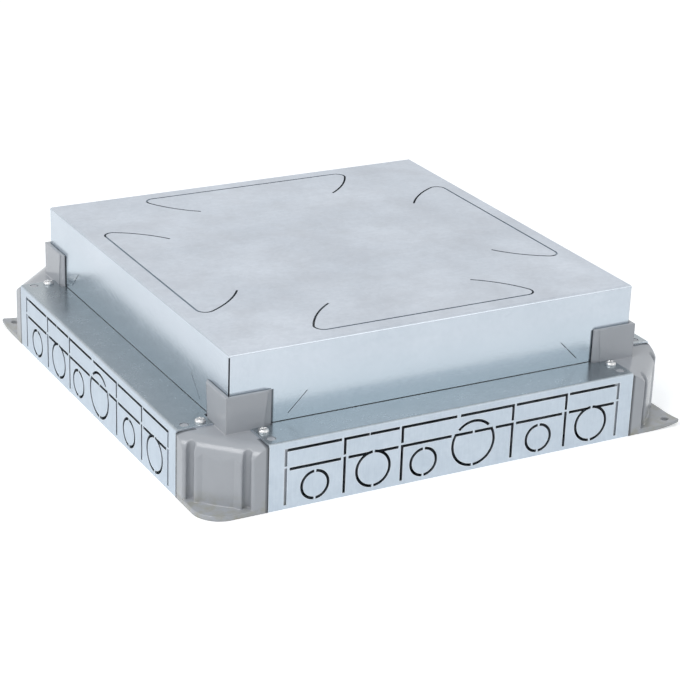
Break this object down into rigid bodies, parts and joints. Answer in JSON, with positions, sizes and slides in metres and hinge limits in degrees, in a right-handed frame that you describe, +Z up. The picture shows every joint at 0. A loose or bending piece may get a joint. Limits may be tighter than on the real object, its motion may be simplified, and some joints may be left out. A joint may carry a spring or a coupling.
{
  "type": "floor socket box",
  "caption": "Square steel floor socket box with conduit knock-outs, plastic corner mouldings and a folded cover on a screw-levelled frame.",
  "frame": {"origin": "middle of the underside", "axes": "+Z up through the cover, the front plate faces -Y, the left plate faces -X"},
  "size_m": [0.346, 0.346, 0.094],
  "materials": {
    "base": "galvanised, satin",
    "plate": "galvanised, satin, grain upright",
    "moulding": "glossy moulded plastic",
    "frame": "galvanised, satin",
    "cover": "galvanised, satin top and bright skirts",
    "rivet": "bright steel",
    "levelling": "zinc plated",
    "brass": "bright brass",
    "screw": "zinc plated, bright"
  },
  "bodies": {
    "base": {"base_plate": "base", "side_plate_front": "plate", "side_plate_right": "plate", "side_plate_back": "plate", "side_plate_left": "plate", "corner_moulding_back_right": "moulding", "corner_moulding_back_left": "moulding", "corner_moulding_front_left": "moulding", "corner_moulding_front_right": "moulding", "plate_rivets": "rivet", "corner_rivets": "rivet", "flange_screws": "screw", "earth_stud": "screw", "earth_washer": "brass", "earth_nuts": "brass"},
    "frame": {"frame_rail_front": "frame", "frame_rail_right": "frame", "frame_rail_back": "frame", "frame_rail_left": "frame", "frame_lug_back_right": "frame", "frame_lug_back_left": "frame", "frame_lug_front_left": "frame", "frame_lug_front_right": "frame", "frame_nuts": "screw"},
    "cover": {"cover": "cover"},
    "screw_back_right": {"level_screw_back_right": "levelling"},
    "screw_back_left": {"level_screw_back_left": "levelling"},
    "screw_front_left": {"level_screw_front_left": "levelling"},
    "screw_front_right": {"level_screw_front_right": "levelling"}
  },
  "joints": [
    {"name": "level_adjust", "type": "slide", "parent": "base", "child": "frame", "axis": [0, 0, 1], "range_m": [0, 0.018]},
    {"name": "cover_lift", "type": "slide", "parent": "frame", "child": "cover", "axis": [0, 0, 1], "range_m": [0, 0.08]},
    {"name": "level_turn_back_right", "type": "hinge", "parent": "base", "child": "screw_back_right", "pos_m": [0.125, 0.125, 0.04], "axis": [0, 0, 1], "range_deg": [-2161, 0]},
    {"name": "level_turn_back_left", "type": "hinge", "parent": "base", "child": "screw_back_left", "pos_m": [-0.125, 0.125, 0.04], "axis": [0, 0, 1], "range_deg": [-2161, 0]},
    {"name": "level_turn_front_left", "type": "hinge", "parent": "base", "child": "screw_front_left", "pos_m": [-0.125, -0.125, 0.04], "axis": [0, 0, 1], "range_deg": [-2161, 0]},
    {"name": "level_turn_front_right", "type": "hinge", "parent": "base", "child": "screw_front_right", "pos_m": [0.125, -0.125, 0.04], "axis": [0, 0, 1], "range_deg": [-2161, 0]}
  ],
  "couplings": [
    {"joint": "level_turn_back_right", "follows": "level_adjust", "rad_per_m": -2094.4},
    {"joint": "level_turn_back_left", "follows": "level_adjust", "rad_per_m": -2094.4},
    {"joint": "level_turn_front_left", "follows": "level_adjust", "rad_per_m": -2094.4},
    {"joint": "level_turn_front_right", "follows": "level_adjust", "rad_per_m": -2094.4}
  ]
}
